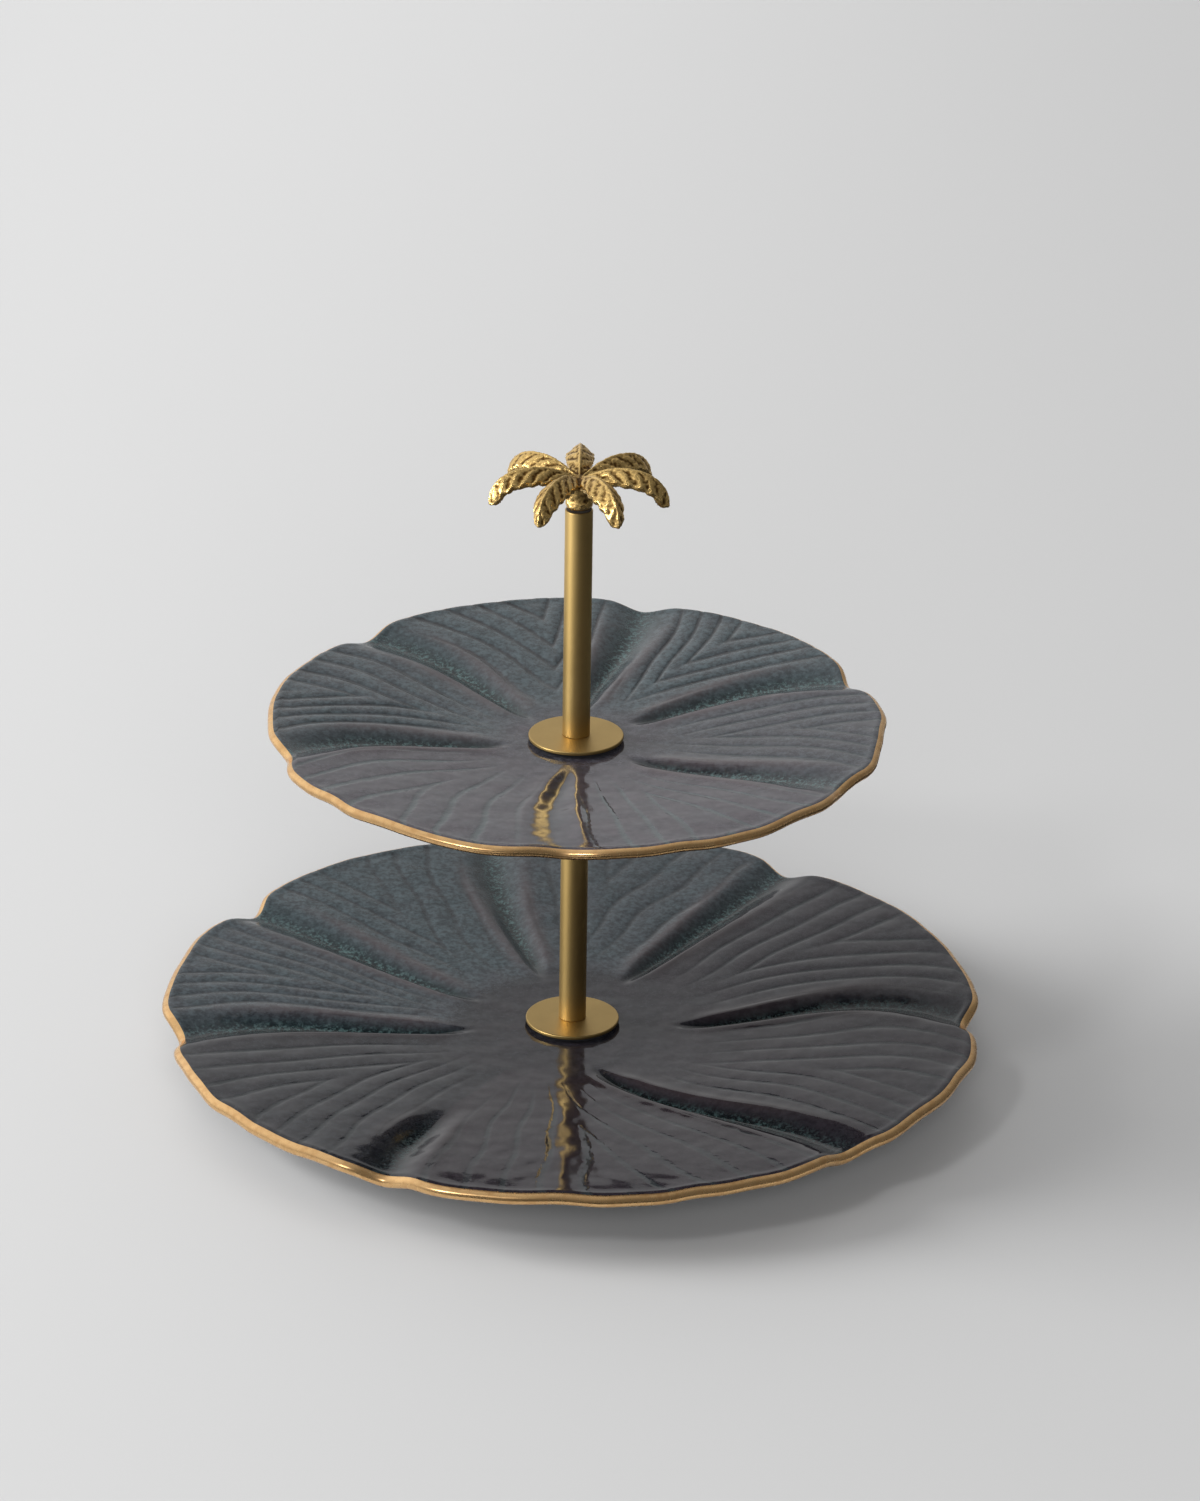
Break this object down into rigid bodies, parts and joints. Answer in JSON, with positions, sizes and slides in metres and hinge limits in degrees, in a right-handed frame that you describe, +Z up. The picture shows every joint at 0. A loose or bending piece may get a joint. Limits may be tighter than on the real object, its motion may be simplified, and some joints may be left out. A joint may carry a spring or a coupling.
{
  "type": "tiered cake stand",
  "caption": "Tiered cake stand: dark glazed petal plates with gilded wavy rims, clamped on a slim gold screwed post under a cast palm finial.",
  "frame": {"origin": "on the post's axis, in the plane of the foot ring that the stand rests on", "axes": "+Z up along the post; +X to the right and -Y towards the viewer as the stand is usually seen"},
  "size_m": [0.2635, 0.265, 0.2063],
  "materials": {
    "petal_glaze": "gloss glaze, nearly black green",
    "satin_gold": "satin",
    "cast_gold": "rough cast, rubbed bright on the high spots",
    "zinc_steel": "zinc plated",
    "black_rubber": "matte",
    "dark_nylon": "matte"
  },
  "bodies": {
    "base": {"lower_plate": "petal_glaze", "base_screw": "zinc_steel", "base_washer": "zinc_steel", "base_gasket": "black_rubber"},
    "lower_flange": {"lower_disc": "satin_gold", "lower_gasket": "black_rubber"},
    "lower_column": {"lower_tube": "satin_gold", "lower_swivel_insert": "zinc_steel", "lower_top_insert": "zinc_steel", "joining_stud": "zinc_steel", "under_disc": "satin_gold", "under_gasket": "black_rubber"},
    "upper_tier": {"upper_plate": "petal_glaze"},
    "upper_flange": {"upper_disc": "satin_gold", "upper_gasket": "black_rubber"},
    "upper_column": {"upper_tube": "satin_gold", "upper_swivel_insert": "zinc_steel", "upper_top_insert": "zinc_steel"},
    "finial_ring": {"finial_washer": "dark_nylon"},
    "finial": {"finial_palm": "cast_gold", "finial_stud": "zinc_steel"}
  },
  "joints": [
    {"name": "lower_column_rise", "type": "slide", "parent": "base", "child": "lower_flange", "axis": [0, 0, 1], "range_m": [0, 0.008]},
    {"name": "lower_column_turn", "type": "hinge", "parent": "lower_flange", "child": "lower_column", "pos_m": [0, 0, 0.0172], "axis": [0, 0, 1], "range_deg": [0, 3600]},
    {"name": "upper_plate_turn", "type": "hinge", "parent": "lower_column", "child": "upper_tier", "pos_m": [0, 0, 0.1097], "axis": [0, 0, 1], "continuous": true},
    {"name": "upper_column_rise", "type": "slide", "parent": "lower_column", "child": "upper_flange", "axis": [0, 0, 1], "range_m": [0, 0.008]},
    {"name": "upper_column_turn", "type": "hinge", "parent": "upper_flange", "child": "upper_column", "pos_m": [0, 0, 0.1164], "axis": [0, 0, 1], "range_deg": [0, 3600]},
    {"name": "finial_rise", "type": "slide", "parent": "upper_column", "child": "finial_ring", "axis": [0, 0, 1], "range_m": [0, 0.008]},
    {"name": "finial_turn", "type": "hinge", "parent": "finial_ring", "child": "finial", "pos_m": [0, 0, 0.1927], "axis": [0, 0, 1], "range_deg": [0, 3600]}
  ],
  "couplings": [
    {"joint": "lower_column_turn", "follows": "lower_column_rise", "rad_per_m": 7854},
    {"joint": "upper_column_turn", "follows": "upper_column_rise", "rad_per_m": 7854},
    {"joint": "finial_turn", "follows": "finial_rise", "rad_per_m": 7854}
  ]
}
